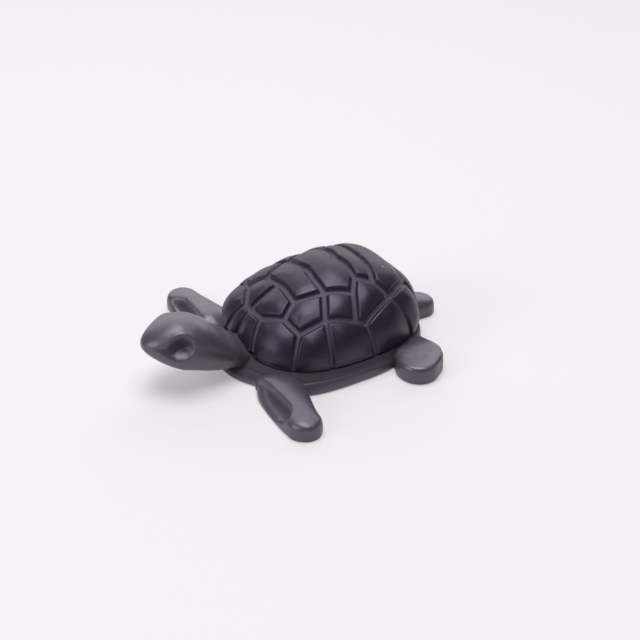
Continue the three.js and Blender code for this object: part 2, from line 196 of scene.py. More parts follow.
def moulded_vinyl(name, dark, pale, hollow_shade_and_dust, shade_and_dust_strength, least_rough, most_rough, shade_and_dust_rough,
                  shine, cast):
    """PVC vinyl moulded in a fine-blasted steel tool, a little uneven from cooling, and handled since.

    To the eye it is satin, with cloudy pigment, a faint grain and a few specks of dust. A mesh attribute
    turns the colour toward painted shade where the body lies in hollows or in shade, and toward a pale dust
    film in the shell's seams, and dulls the shine there.
    """
    cloud_size = 4.0
    cloud_range = (0.3, 0.7)
    uneven_height = 0.25
    uneven_strength = 0.6
    # The tool's grit is finer than this: it is drawn as coarse as it needs to show.
    grain_size = 0.22
    grain_height = 0.03
    grain_strength = 0.25
    speck_spacing = 4.5
    speck_radius = 0.16
    speck_core = 0.6 * speck_radius
    speck_share = 0.7
    speck_colour = colour("#b5adb8")
    shade_and_dust_range = (0.5, 1)
    dulled_range = (0.4, 0.8)
    vinyl_ior = 1.53
    # A Mix node's colour sockets: its factor, what lies under, what lies over, and the result.
    factor = 0
    under = 6
    over = 7
    mixed = 2
    material = bpy.data.materials.new(name)
    material.use_nodes = True
    tree = material.node_tree
    shader = tree.nodes["Principled BSDF"]
    place = add_node(tree, "ShaderNodeTexCoord").outputs["Object"]
    cloud = add_node(tree, "ShaderNodeTexNoise", {
        "Vector": place, "Scale": 1 / (cloud_size * MM), "Detail": 3})
    pigment = add_node(tree, "ShaderNodeMix", {
        factor: cloud.outputs["Fac"], under: colour(dark), over: colour(pale)}, data_type="RGBA")
    cells = add_node(tree, "ShaderNodeTexVoronoi", {"Vector": place, "Scale": 1 / (speck_spacing * MM)})
    speck = add_node(tree, "ShaderNodeMapRange", {
        "Value": cells.outputs["Distance"], "From Min": speck_core / speck_spacing,
        "From Max": speck_radius / speck_spacing, "To Min": speck_share, "To Max": 0},
        interpolation_type="SMOOTHSTEP")
    # The attribute gives painted shade on the body's pieces and a pale dust film in the shell's seams.
    recess = add_node(tree, "ShaderNodeAttribute", attribute_name="recess")
    shade_and_dust_amount = add_node(tree, "ShaderNodeMapRange", {
        "Value": recess.outputs["Fac"], "From Min": shade_and_dust_range[0], "From Max": shade_and_dust_range[1],
        "To Min": 0, "To Max": shade_and_dust_strength})
    shaded_and_dusted = add_node(tree, "ShaderNodeMix", {
        factor: shade_and_dust_amount.outputs["Result"], under: pigment.outputs[mixed], over: colour(hollow_shade_and_dust)},
        data_type="RGBA")
    dusted = add_node(tree, "ShaderNodeMix", {
        factor: speck.outputs["Result"], under: shaded_and_dusted.outputs[mixed], over: speck_colour},
        data_type="RGBA")
    rough = add_node(tree, "ShaderNodeMapRange", {
        "Value": cloud.outputs["Fac"], "From Min": cloud_range[0], "From Max": cloud_range[1],
        "To Min": least_rough, "To Max": most_rough})
    uneven = add_node(tree, "ShaderNodeBump", {
        "Height": cloud.outputs["Fac"], "Strength": uneven_strength, "Distance": uneven_height * MM})
    grain = add_node(tree, "ShaderNodeTexNoise", {
        "Vector": place, "Scale": 1 / (grain_size * MM), "Detail": 2})
    bump = add_node(tree, "ShaderNodeBump", {
        "Height": grain.outputs["Fac"], "Strength": grain_strength, "Distance": grain_height * MM,
        "Normal": uneven.outputs["Normal"]})
    dulled = add_node(tree, "ShaderNodeMapRange", {
        "Value": recess.outputs["Fac"], "From Min": dulled_range[0], "From Max": dulled_range[1],
        "To Min": rough.outputs["Result"], "To Max": shade_and_dust_rough})
    tree.links.new(dusted.outputs[mixed], shader.inputs["Base Color"])
    tree.links.new(dulled.outputs["Result"], shader.inputs["Roughness"])
    tree.links.new(bump.outputs["Normal"], shader.inputs["Normal"])
    shader.inputs["IOR"].default_value = vinyl_ior
    shader.inputs["Specular IOR Level"].default_value = shine
    shader.inputs["Specular Tint"].default_value = colour(cast)
    return material


# Charcoal with a purple cast: a soft sheen on what stands out, and painted shade, darker and duller, in the
# hollows and where other parts shade the body.
body_vinyl = moulded_vinyl("body_vinyl", dark="#423845", pale="#4f4452", hollow_shade_and_dust="#251e2a",
                           shade_and_dust_strength=0.85, least_rough=0.33, most_rough=0.45, shade_and_dust_rough=0.85,
                           shine=0.95, cast="#f0eeff")

bearing = np.linspace(0, 2 * math.pi, trunk_columns, endpoint=False)
side_x, side_y, _ = trunk_outline(trunk_length, trunk_width, trunk_front_squareness, trunk_rear_squareness,
                                  chest_reach, bearing)
ledge_length = shell_length - shell_overhang * 2
ledge_width = shell_width - shell_overhang * 2
ledge_x, ledge_y, ledge_u = trunk_outline(ledge_length, ledge_width, shell_squareness, shell_squareness,
                                          0, bearing)
ledge_z = rim_level(ledge_u) - fit_gap
trunk_rings = []
trunk_shade = []
for turn in np.linspace(0, math.pi / 2, belly_rows):
    inset = 1 - belly_edge * (1 - math.sin(turn)) * 2 / trunk_width
    level = np.full(trunk_columns, belly_edge * (1 - math.cos(turn)))
    trunk_rings.append(np.stack([shell_middle + (side_x - shell_middle) * inset, side_y * inset, level], -1))
    trunk_shade.append(np.zeros(trunk_columns))
side_top = rim_height - fit_gap
for level in np.linspace(belly_edge, side_top, side_rows)[1:]:
    drawn_in = np.interp(level, *np.transpose(side_lean))
    groove_share = math.exp(-((level - groove_height) / groove_width) ** 2) * smooth(*groove_fade, side_x)
    kept = 1 - groove_depth * groove_share / np.hypot(side_x - shell_middle, side_y)
    x = shell_middle + (side_x + (ledge_x - side_x) * drawn_in - shell_middle) * kept
    y = (side_y + (ledge_y - side_y) * drawn_in) * kept
    z = level * (1 + (ledge_z / side_top - 1) * smooth(lift_start, side_top, level))
    trunk_rings.append(np.stack([x, y, z], -1))
    # Painted shade: darker near the shell's rim, on the chest under the neck, and in the groove.
    shade_under_shell = side_shade * smooth(*side_shade_rise, level)
    shade_under_neck = side_shade * smooth(*chest_shade_run, side_x) * smooth(*chest_shade_rise, level)
    trunk_shade.append(np.maximum(np.maximum(groove_shade * groove_share, shade_under_shell), shade_under_neck))
core_inset = shell_wall + fit_gap
core_rings = [dome_place(tilt, bearing) - dome_outward(np.full(trunk_columns, tilt), bearing) * core_inset
              for tilt in np.linspace(math.pi / 2, 0, core_rows, endpoint=False)]
core_foot = core_rings[0].copy()
core_foot[:, 2] = rim_level((core_foot[:, 0] - shell_middle) * 2 / shell_length) - fit_gap
trunk_rings += [core_foot, *core_rings]
# The core hidden under the shell takes full painted shade.
trunk_shade += [np.ones(trunk_columns)] * (1 + core_rows)
belly_point = (shell_middle, 0, 0)
core_point = (shell_middle, 0, crown_height - core_inset)
trunk = new_piece("trunk_moulding", *closed_stack(trunk_rings, belly_point, core_point), body_vinyl,
                  recess=np.concatenate(trunk_shade))
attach(trunk, "root")
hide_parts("trunk")

# Head: head and neck in one moulding of the same vinyl, plugged into the trunk under the shell's front edge.
# The neck climbs to an egg-shaped head; each eye is a hollow under the brow, pointed toward the snout,
# with a slanting floor along its lower edge.
shell_front = shell_middle + shell_length / 2
head_reach = 15.6
head_width = 10.2
head_height = 8.2
head_lift = 7.7
head_squareness = 2.2
neck_width = 8.8
neck_height = 4.2
neck_lift = 3.3
neck_dip = 0.7
neck_tuck = 4.8
# Painted shade on the neck near the shell, and in each eye's hollow apart from its lower floor, where light
# falls.
neck_shade = (0.5, 3.8)
plug_fall = 0.5
snout_length = 6
snout_width = 7.8
snout_height = 5.2
snout_lift = 0.75
snout_bluntness = 1
head_rows = 240
head_columns = 240
limb_crease = 60
eye_radius = 2.1
eye_corner = 4.2
eye_depth = 1.9
eye_back = 4.6
eye_rise = 1.1
eye_pitch = 0.17
eye_inset = 0.55
eye_turn = 0.38
eye_roll = 0.25
eye_slant = 0.25
eye_ramp = 1.3
eye_wall_steepness = 5
eye_shallowing = 0.85
eye_shallow_run = (-0.4, 3.8)
eye_shade = 0.8
eye_shade_edge = 0.5
eye_shade_rise = (0.9, 1.8)
eye_shade_slant = 0.3
brow_rise = 0.15
brow_place = 1.16
brow_width = 0.14
brow_start = 0.8
brow_fade = (0.5, 2.5)
# Shares of the way from the shell to the snout, each with how far the nape and the throat have risen.
neck_climb = [(0.12, 0.3, 0), (0.28, 0.65, 0.1), (0.45, 0.92, 0.45), (0.62, 1, 0.85)]


def catmull(points, shares):
    """A centripetal Catmull-Rom curve through the points, at shares of the way along its spans."""
    least_step = 1e-4
    spans = len(points) - 1
    padded = np.concatenate([[2 * points[0] - points[1]], points, [2 * points[-1] - points[-2]]])
    span = np.minimum((shares * spans).astype(int), spans - 1)
    weight = (shares * spans - span)[:, None]
    p0, p1, p2, p3 = (padded[span + i] for i in range(4))
    steps = [np.sqrt(np.linalg.norm(b - a, axis=1, keepdims=True))
             for a, b in ((p0, p1), (p1, p2), (p2, p3))]
    d1 = np.where(steps[1] < least_step, 1, steps[1])
    d0 = np.where(steps[0] < least_step, d1, steps[0])
    d2 = np.where(steps[2] < least_step, d1, steps[2])
    m1 = ((p1 - p0) / d0 - (p2 - p0) / (d0 + d1) + (p2 - p1) / d1) * d1
    m2 = ((p2 - p1) / d1 - (p3 - p1) / (d1 + d2) + (p3 - p2) / d2) * d1
    bend = 2 * p1 - 2 * p2 + m1 + m2
    swing = -3 * p1 + 3 * p2 - 2 * m1 - m2
    return p1 + m1 * weight + swing * weight ** 2 + bend * weight ** 3


def loft(stations, tip_length, squareness, bluntness, rows, columns):
    """A limb's grid of points, rows by columns, and its root and tip points.

    Each station is x, y, z, width and height; the tip's height falls off slower than its width by bluntness.
    """
    curve_samples = 600
    tip_rows = rows // 3
    stations = np.array(stations, float)
    fine = np.linspace(0, 1, curve_samples)
    run = catmull(stations[:, :3], fine)
    length = np.concatenate([[0], np.cumsum(np.linalg.norm(np.diff(run, axis=0), axis=1))])
    tip_start = 1 - tip_length / length[-1]
    turn = np.linspace(0, math.pi / 2, tip_rows, endpoint=False)
    body = np.linspace(0, tip_start, rows - tip_rows, endpoint=False)
    along = np.concatenate([body, tip_start + (1 - tip_start) * np.sin(turn)])
    shrink = np.concatenate([np.ones(len(body)), np.cos(turn)])[:, None]
    shares = np.interp(along * length[-1], length, fine)
    middle = catmull(stations[:, :3], shares)
    half = catmull(stations[:, 3:] / 2, shares)
    heading = np.gradient(run, axis=0)
    heading = np.stack([np.interp(shares, fine, heading[:, axis]) for axis in range(3)], -1)
    side = np.stack([-heading[:, 1], heading[:, 0], np.zeros(rows)], -1)
    side /= np.linalg.norm(side, axis=1, keepdims=True)
    angle = np.linspace(0, 2 * math.pi, columns, endpoint=False)
    across = np.sign(np.cos(angle)) * np.abs(np.cos(angle)) ** (2 / squareness)
    rise = np.sign(np.sin(angle)) * np.abs(np.sin(angle)) ** (2 / squareness)
    grid = middle[:, None] + side[:, None] * (across * half[:, :1] * shrink)[:, :, None]
    grid[:, :, 2] += rise * half[:, 1:] * shrink ** bluntness
    return grid, run[0], run[-1]


def grid_outward(grid):
    """The direction square to a limb's grid, at each of its points."""
    along = np.gradient(grid, axis=0)
    around = np.roll(grid, -1, axis=1) - np.roll(grid, 1, axis=1)
    outward = np.cross(around, along)
    return outward / np.maximum(np.linalg.norm(outward, axis=-1, keepdims=True), 1e-9)


stations = [
    (shell_front - neck_tuck, 0, neck_lift - neck_dip, neck_width, neck_height - plug_fall),
    (shell_front - plug_fall, 0, neck_lift, neck_width, neck_height),
]
for along, risen, lifted in neck_climb:
    nape = np.interp(risen, (0, 1), (neck_lift + neck_height / 2, head_lift + head_height / 2))
    throat = np.interp(lifted, (0, 1), (neck_lift - neck_height / 2, head_lift - head_height / 2))
    width = np.interp(risen ** 2, (0, 1), (neck_width, head_width))
    stations.append((shell_front + head_reach * along, 0, (nape + throat) / 2, width, nape - throat))
stations.append((shell_front + head_reach, 0, head_lift + snout_lift, snout_width, snout_height))
head_grid, head_root, head_tip = loft(stations, snout_length, head_squareness, snout_bluntness,
                                      head_rows, head_columns)
raised = np.zeros(head_grid.shape[:2])
# Painted shade on the neck where it runs under the shell's front edge.
recess = 1 - smooth(*neck_shade, head_grid[:, :, 0] - shell_front)
corner_turn = math.asin(eye_radius / eye_corner)
for flip in (1, -1):
    eye = np.array([shell_front + head_reach - eye_back, (head_width / 2 - eye_inset) * flip,
                    head_lift + eye_rise])
    forward = np.array([math.cos(eye_turn), -math.sin(eye_turn) * flip, math.sin(eye_pitch)])
    upward = np.array([-math.sin(eye_pitch), -math.sin(eye_roll) * flip, math.cos(eye_roll)])
    ahead = (head_grid - eye) @ forward
    above = (head_grid - eye) @ upward
    facing = head_grid[:, :, 1] * flip > 0
    in_corner = np.arctan2(np.abs(above), ahead) < math.pi / 2 - corner_turn
    from_middle = np.where(in_corner, (ahead + np.abs(above) / math.tan(corner_turn)) / eye_corner,
                           np.hypot(ahead, above) / eye_radius)
    from_rim = above * math.cos(eye_slant) + ahead * math.sin(eye_slant) + eye_radius
    bowl = np.maximum(0, 1 - from_middle ** eye_wall_steepness) * np.clip(from_rim / eye_ramp, 0, 1)
    bowl *= 1 - eye_shallowing * smooth(*eye_shallow_run, ahead)
    brow = np.exp(-((from_middle - brow_place) / brow_width) ** 2)
    brow *= smooth(0, brow_start, above) * (1 - smooth(*brow_fade, ahead))
    raised += facing * (brow_rise * brow - eye_depth * bowl)
    # Painted shade in the eye's hollow, under the brow and toward the snout, left off the lit lower floor.
    hollow_shade_and_dust = smooth(0, eye_shade_edge, bowl) * smooth(*eye_shade_rise, from_rim + eye_shade_slant * ahead)
    recess += eye_shade * facing * hollow_shade_and_dust
head_grid = head_grid + grid_outward(head_grid) * raised[:, :, None]
head = new_piece("head_moulding", *closed_stack(list(head_grid), head_root, head_tip), body_vinyl,
                 crease=limb_crease, recess=recess.reshape(-1))
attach(head, "root")
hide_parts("head")

# Front flippers: a left and a right moulding of the body vinyl, plugged in under the shell's shoulders.
# A ridge runs along each from the shoulder, with a scooped hollow on its leading side and a thick blunt toe.
flipper_reach = 24.4
flipper_setback = 1.3
flipper_x = shell_middle + trunk_length / 2 - flipper_setback
flipper_width = 5.1
flipper_root_width = 7.4
flipper_thickness = 2.9
flipper_swell = 0.4
flipper_tuck = 6
flipper_sweep = 1.8
flipper_rows = 210
flipper_columns = 260
limb_squareness = 2.9
limb_bluntness = 0.35
plug_taper = 1
sole_sink = 0.4
sole_edge = 0.15
shoulder_rise = 0.8
shoulder_start = 12.6
shoulder_round = 4.3
shoulder_limit = 0.97
scoop_run = (9.5, 15)
scoop_root_share = 0.5
scoop_end = 20.2
toe_round = 0.9
toe_round_gain = 2.6
toe_round_run = (0.2, 2.6)
trailing_start = 1.6
trailing_fall = 0.04
trailing_curve = 1.2
trailing_most = 0.2
trailing_fade = (17, 21)
# Painted shade at the flipper's root under the shell and in the scooped hollow beside the ridge.
root_shade = (8.2, 10)
scoop_shade_run = (9, 13)
scoop_shade_start = (-0.1, 0.2)
scoop_shade_end = (0.35, 1.1)
ridge_span = (6, 26)
slope_span = (-1, 2)
samples_per_mm = 10
samples_per_slope = 100
crest_reach = 12
crest_blur = 5
# Shares of the way out, each with how far the flipper has swept forward, narrowed and kept its shoulder.
flipper_run = [(0.2, 0.25, 0, 1), (0.45, 0.6, 0.2, 0.4), (0.72, 0.95, 0.65, 0), (1, 1, 1, 0)]
# The ridge from above, as y and x, and the width of the slope in front of it at each y.
ridge_line = [(8, 17.5), (9, 17.6), (11.9, 17.6), (15.7, 17.2), (18.9, 17.0), (19.8, 17.7), (21.1, 18.4),
              (22.6, 19.1), (24, 19.6)]
slope_width = [(9, 0.8), (12, 1.0), (15.7, 1.7), (19, 2.1), (21, 1.6), (23, 1.2)]
# Shares of the slope's width, each with the share of the flipper's thickness that is scooped away there.
slope_cut = [(-0.5, 0), (-0.2, 0.02), (0, 0.08), (0.1, 0.26), (0.2, 0.46), (0.28, 0.54), (0.38, 0.58),
             (0.55, 0.61), (0.8, 0.65), (1, 0.69), (1.6, 0.8)]


def sole_station(x, y, top, width):
    """A station of a limb that lies on the floor: its section dips below it, to be flattened there."""
    return x, y, top * (1 - sole_sink) / 2, width, top * (1 + sole_sink)


def flat_sole(grid):
    """The grid with what lies below the floor pressed flat, over a small rounded edge."""
    grid = grid.copy()
    grid[:, :, 2] = (grid[:, :, 2] + np.hypot(grid[:, :, 2], sole_edge)) / 2
    return grid


def softened(values, reach, blur, ends):
    """The values averaged with neighbours up to reach places away, by a bell curve blur places wide."""
    bell = np.exp(-(np.arange(-reach, reach + 1) / blur) ** 2)
    return np.convolve(np.pad(values, reach, ends), bell / bell.sum(), "valid")


def pair_of_limbs(name, node, grid, root, tip, recess):
    """The left limb and its mirror image, as pieces that stand for the two CAD nodes."""
    for hand, flip in (("left", 1), ("right", -1)):
        points, faces = closed_stack(list(flat_sole(grid)), root, tip)
        points = points * (1, flip, 1)
        if flip < 0:
            faces = [face[::-1] for face in faces]
        piece = new_piece(f"{name}_{hand}", points, faces, body_vinyl, crease=limb_crease,
                          recess=recess.reshape(-1))
        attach(piece, "root")
        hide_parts(node.format(hand))


root_y = trunk_width / 2 - flipper_tuck
root_x = flipper_x - flipper_sweep
stations = [sole_station(root_x, root_y, flipper_thickness - plug_fall, flipper_root_width - plug_taper)]
for along, swept, narrowed, shouldered in flipper_run:
    swell = flipper_swell * math.sin(along * math.pi) + shoulder_rise * shouldered
    stations.append(sole_station(root_x + flipper_sweep * swept, root_y + (flipper_reach - root_y) * along,
                                 flipper_thickness + swell,
                                 flipper_root_width + (flipper_width - flipper_root_width) * narrowed))
grid, root, tip = loft(stations, flipper_width / 2, limb_squareness, limb_bluntness,
                       flipper_rows, flipper_columns)
out = grid[:, :, 1]
ridge_y = np.linspace(*ridge_span, (ridge_span[1] - ridge_span[0]) * samples_per_mm + 1)
ridge_x = softened(np.interp(ridge_y, *np.transpose(ridge_line)), crest_reach, crest_blur, "edge")
lead = grid[:, :, 0] - np.interp(out, ridge_y, ridge_x)
shoulder = np.sqrt(1 - np.clip((shoulder_start - out) / shoulder_round, 0, shoulder_limit) ** 2)
grid[:, :, 0] -= np.maximum(0, lead) * (1 - shoulder)
share = lead / np.interp(out, *np.transpose(slope_width))
slope_share = np.linspace(*slope_span, (slope_span[1] - slope_span[0]) * samples_per_slope + 1)
slope_fall = softened(np.interp(slope_share, *np.transpose(slope_cut)), crest_reach, crest_blur, "edge")
end_round = toe_round + toe_round_gain * smooth(*toe_round_run, lead)
depth = scoop_root_share + (1 - scoop_root_share) * smooth(*scoop_run, out)
depth = depth * (1 - smooth(-end_round, end_round, out - scoop_end))
trailing = trailing_fall * np.maximum(0, -trailing_start - lead) ** trailing_curve
trailing = np.minimum(trailing_most, trailing) * (1 - smooth(*trailing_fade, out))
grid[:, :, 2] *= 1 - np.interp(share, slope_share, slope_fall) * depth - trailing
# Painted shade: in the scoop beside the ridge, and all over the root under the shell.
recess = smooth(*scoop_shade_start, share) * (1 - smooth(*scoop_shade_end, share))
recess = recess * depth * smooth(*scoop_shade_run, out) + 1 - smooth(*root_shade, out)
pair_of_limbs("front_flipper", "front_{}_flipper", grid, root, tip, recess)

# Rear feet: a left and a right moulding of the body vinyl, plugged into the trunk under the shell.
# Each fans out from a narrow root to a thick paddle with a flat sole, dished on top inside a low rim.
foot_reach = 19.8
foot_ahead = 10
foot_x = shell_middle - trunk_length / 2 + foot_ahead
foot_width = 7.6
foot_root_width = 5.4
foot_round = 5
foot_thickness = 3
foot_squareness = 4
foot_bluntness = 0.2
foot_tuck = 5
foot_sweep = 2.9
paddle_back = 2.3
paddle_inset = 5.0
foot_middle = np.array([foot_x - paddle_back, foot_reach - paddle_inset])
foot_columns = 180
side_draft = 0.04
edge_round = 0.8
edge_rows = 8
dish_depth = 0.32
dish_share = (0.2, 1)
dish_run = (11.0, 16.0)
dish_rows = 40
dish_last = 0.04
# Painted shade on the foot's inner part, near the trunk and under the shell.
foot_shade = (11.5, 16)
# Shares of the way out, each with how far the foot has swept forward and widened.
foot_run = [(0.25, 0, 0.4), (0.5, 0.08, 1.25), (0.7, 0.5, 1), (1, 1, 1)]
# The foot's side from the sole up, as how far it is drawn in and its height.
side_profile = [(0.2, 0.0), (0.08, 0.03), (0.02, 0.1), (0, 0.25), (0, 0.8), (0, 1.4), (0.02, 2.0)]

root_y = trunk_width / 2 - foot_tuck
root_x = foot_x - foot_sweep
stations = [sole_station(root_x, root_y, foot_thickness - plug_fall, foot_root_width - plug_taper)]
for along, swept, widened in foot_run:
    stations.append(sole_station(root_x + foot_sweep * swept, root_y + (foot_reach - root_y) * along,
                                 foot_thickness, foot_root_width + (foot_width - foot_root_width) * widened))
sweep = loft(stations, foot_round, foot_squareness, foot_bluntness, rows=120, columns=150)[0]
turn = np.linspace(0, 2 * math.pi, foot_columns, endpoint=False)
outward = np.stack([np.cos(turn), np.sin(turn)], -1)
plan = sweep[:, :, :2].reshape(-1, 2) - foot_middle
column = np.arctan2(plan[:, 1], plan[:, 0]) / (2 * math.pi) * foot_columns
column = np.round(column).astype(int) % foot_columns
reach = np.zeros(foot_columns)
np.maximum.at(reach, column, np.hypot(plan[:, 0], plan[:, 1]))
reach = softened(reach, reach=8, blur=3.5, ends="wrap")
for lean in np.linspace(0, math.pi / 2, edge_rows):
    side_profile.append((side_draft + edge_round * (1 - math.cos(lean)),
                         foot_thickness - edge_round * (1 - math.sin(lean))))
rings = []
for inset, level in side_profile:
    plan = outward * (reach - inset)[:, None] + foot_middle
    rings.append(np.column_stack([plan, np.full(foot_columns, level)]))
for share in np.linspace(1, dish_last, dish_rows)[1:]:
    plan = outward * ((reach - side_draft - edge_round) * share)[:, None] + foot_middle
    dish = dish_depth * (1 - smooth(*dish_share, share)) * smooth(*dish_run, plan[:, 1])
    rings.append(np.column_stack([plan, foot_thickness - dish]))
grid = np.array(rings)
root = (*foot_middle, 0)
tip = (*foot_middle, grid[-1, :, 2].mean())
# Painted shade, fading out from the trunk toward the foot's outer end.
recess = 1 - smooth(*foot_shade, grid[:, :, 1])
pair_of_limbs("rear_foot", "rear_{}_foot", grid, root, tip, recess)

# Tail: a short stub of the body vinyl with a flat sole, plugged into the trunk under the shell's rear edge.
# It falls a little to a blunt round end.
shell_rear = shell_middle - shell_length / 2
tail_reach = 5.7
tail_width = 5.4
tail_thickness = 3.5
tail_fall = 0.8
tail_fall_start = 0.6
tail_tuck = 3.6
stations = [
    sole_station(shell_rear + tail_tuck, 0, tail_thickness - plug_fall, tail_width - plug_taper),
    sole_station(shell_rear - tail_fall_start, 0, tail_thickness, tail_width),
    sole_station(shell_rear - tail_reach, 0, tail_thickness - tail_fall, tail_width),
]
grid, root, tip = loft(stations, tail_width / 2, limb_squareness, limb_bluntness, rows=90, columns=120)
tail = new_piece("tail_moulding", *closed_stack(list(flat_sole(grid)), root, tip), body_vinyl,
                 crease=limb_crease)
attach(tail, "root")
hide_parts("tail")

# Carapace: the shell, a hollow cap of near-black vinyl pressed on over the trunk's core.
# Raised scutes cover it, parted by round-bottomed seams that hold a pale film; its rim is rounded over
# along the lower edge and arches up over the neck.
neck_notch = 0.115
notch_reach = 0.42
seam_points = 30
rim_points = 241
dome_cells = 290
inner_rows = 5
outer_bevel = 0.06
inner_bevel = 0.1
swell_fade = (0.6, 1)
pad_blur_steps = 60
seam_sizes = {
    "Scute seam": {"depth": 0.7, "floor": 0.28, "wall": 0.5},
    "Rim seam": {"depth": 0.5, "floor": 0.1, "wall": 0.55},
    "Rim edge": {"depth": 0.25, "floor": 0.0, "wall": 0.8},
}
filmed_seams = ("Scute seam", "Rim seam")
pad_sizes = {"Pad crown": 0.42, "Pad reach": 3.0, "Pad swell": 0.55}
# Where seams meet on the left half, on the dome unrolled flat: shares of the way from the crown to the rim,
# toward the head and to the left. The right half mirrors them, apart from the unmirrored ones.
scute_junctions = {
    "nose_rim": (0.97, -0.05), "nose": (0.58, -0.04), "front": (0.31, -0.04),
    "brow": (0.56, 0.13), "brow_rim": (0.94, 0.31), "front_corner": (0.3, 0.2),
    "shoulder": (0.42, 0.28), "first": (0.4, 0.45), "first_rim": (0.67, 0.73),
    "second_corner": (0.12, 0.27), "second": (0.21, 0.47), "second_rim": (0.34, 0.94),
    "third_inner": (-0.11, 0.25), "third_corner": (-0.05, 0.38), "third": (0.01, 0.6),
    "third_low": (-0.06, 0.64), "third_rim": (-0.15, 0.99), "fourth_inner": (-0.21, 0.32),
    "fourth": (-0.29, 0.46), "fourth_rim": (-0.6, 0.8), "rear_corner": (-0.5, 0.3),
    "rear_rim": (-0.85, 0.52), "second_mid": (0.11, 0), "third_mid": (-0.1, 0),
    "fourth_mid": (-0.26, 0), "rear_mid": (-0.56, 0),
}
unmirrored = ("nose", "front", "nose_rim")
upper_seams = [
    "nose front", "brow nose", "front_corner front", "second_corner second_mid", "third_inner third_mid",
    "fourth_inner fourth_mid", "rear_corner rear_mid", "brow shoulder", "shoulder front_corner",
    "shoulder first", "first second", "front_corner second_corner", "second_corner second",
    "second_corner third_corner", "third_inner third_corner", "third_corner third", "second third",
    "third third_low", "third_low fourth", "third_inner fourth_inner", "fourth_inner fourth",
    "fourth rear_corner",
]
rim_seams = [
    "nose_rim nose", "brow brow_rim", "first first_rim", "second second_rim", "third_low third_rim",
    "fourth fourth_rim", "rear_corner rear_rim",
]


def line_object(name, runs):
    """An object of edges along the given runs of points, for the relief to follow."""
    edges = []
    start = 0
    for run in runs:
        edges += [(start + i, start + i + 1) for i in range(len(run) - 1)]
        start += len(run)
    mesh = bpy.data.meshes.new(name)
    mesh.from_pydata((np.concatenate(runs) * MM).tolist(), edges, [])
    line = bpy.data.objects.new(name, mesh)
    bpy.context.scene.collection.objects.link(line)
    return line


def seam_run(seam, flip):
    """A seam between two junctions, straight on the dome's unrolled chart, as points on the dome."""
    ends = []
    for junction in seam.split():
        ahead, left = scute_junctions[junction]
        ends.append((ahead, left if junction in unmirrored else left * flip))
    chart = np.linspace(*np.array(ends), seam_points)
    tilt = np.minimum(1, np.hypot(chart[:, 0], chart[:, 1])) * math.pi / 2
    return dome_place(tilt, np.arctan2(chart[:, 1], chart[:, 0]))


rim_run = dome_place(np.full(rim_points, math.pi / 2), np.linspace(0, 2 * math.pi, rim_points))
seam_lines = {
    "Scute seam": line_object("scute_seams", [seam_run(s, f) for s in upper_seams for f in (1, -1)]),
    "Rim seam": line_object("rim_seams", [seam_run(s, f) for s in rim_seams for f in (1, -1)]),
    "Rim edge": line_object("rim_edge", [rim_run]),
}

# Near-black with a purple cast: a satin gloss on the scutes, and a paler, duller film down in the seams.
shell_vinyl = moulded_vinyl("shell_vinyl", dark="#1b1421", pale="#261d2f", hollow_shade_and_dust="#5c5262",
                            shade_and_dust_strength=0.48, least_rough=0.36, most_rough=0.46, shade_and_dust_rough=0.6,
                            shine=0.52, cast="#ece4ff")

relief = bpy.data.node_groups.new("scute_relief", "GeometryNodeTree")
relief.interface.new_socket("Dome", in_out="INPUT", socket_type="NodeSocketGeometry")
relief.interface.new_socket("Shell", in_out="OUTPUT", socket_type="NodeSocketGeometry")
shell_inputs = {}
for seam, sizes in seam_sizes.items():
    socket = relief.interface.new_socket(seam, in_out="INPUT", socket_type="NodeSocketObject")
    shell_inputs[socket.identifier] = seam_lines[seam]
    for size, value in sizes.items():
        socket = relief.interface.new_socket(f"{seam} {size}", in_out="INPUT", socket_type="NodeSocketFloat")
        shell_inputs[socket.identifier] = value * MM
for size, value in pad_sizes.items():
    socket = relief.interface.new_socket(size, in_out="INPUT", socket_type="NodeSocketFloat")
    shell_inputs[socket.identifier] = value * MM
socket = relief.interface.new_socket("Vinyl", in_out="INPUT", socket_type="NodeSocketMaterial")
shell_inputs[socket.identifier] = shell_vinyl


def taken_together(operation, sockets):
    """One socket that gives the greatest or the least of several."""
    result = sockets[0]
    for socket in sockets[1:]:
        result = add_node(relief, "ShaderNodeMath", {0: result, 1: socket}, operation=operation).outputs[0]
    return result


given = add_node(relief, "NodeGroupInput").outputs
films = []
depths = []
distances = []
for seam in seam_sizes:
    line = add_node(relief, "GeometryNodeObjectInfo", {"Object": given[seam]})
    away = add_node(relief, "GeometryNodeProximity", {0: line.outputs["Geometry"]}, target_element="EDGES")
    pad_edge = add_node(relief, "ShaderNodeMath", {0: given[f"{seam} floor"], 1: given[f"{seam} wall"]})
    share = add_node(relief, "ShaderNodeMapRange", {
        "Value": away.outputs["Distance"], "From Min": given[f"{seam} floor"],
        "From Max": pad_edge.outputs[0], "To Min": 1, "To Max": 0}, interpolation_type="SMOOTHSTEP")
    depth = add_node(relief, "ShaderNodeMath", {0: share.outputs["Result"], 1: given[f"{seam} depth"]},
                     operation="MULTIPLY")
    if seam in filmed_seams:
        films.append(share.outputs["Result"])
    depths.append(depth.outputs[0])
    distances.append(away.outputs["Distance"])
fall = add_node(relief, "ShaderNodeMapRange", {
    "Value": taken_together("MINIMUM", distances), "From Min": 0, "From Max": given["Pad reach"],
    "To Min": given["Pad crown"], "To Max": 0}, interpolation_type="SMOOTHERSTEP")
eased = add_node(relief, "GeometryNodeBlurAttribute", {
    0: fall.outputs["Result"], "Iterations": pad_blur_steps}, data_type="FLOAT")
sunk = add_node(relief, "ShaderNodeMath", {0: taken_together("MAXIMUM", depths), 1: eased.outputs[0]})
outward = add_node(relief, "GeometryNodeInputNamedAttribute", {"Name": "outward"}, data_type="FLOAT_VECTOR")
swell = add_node(relief, "GeometryNodeInputNamedAttribute", {"Name": "swell"}, data_type="FLOAT")
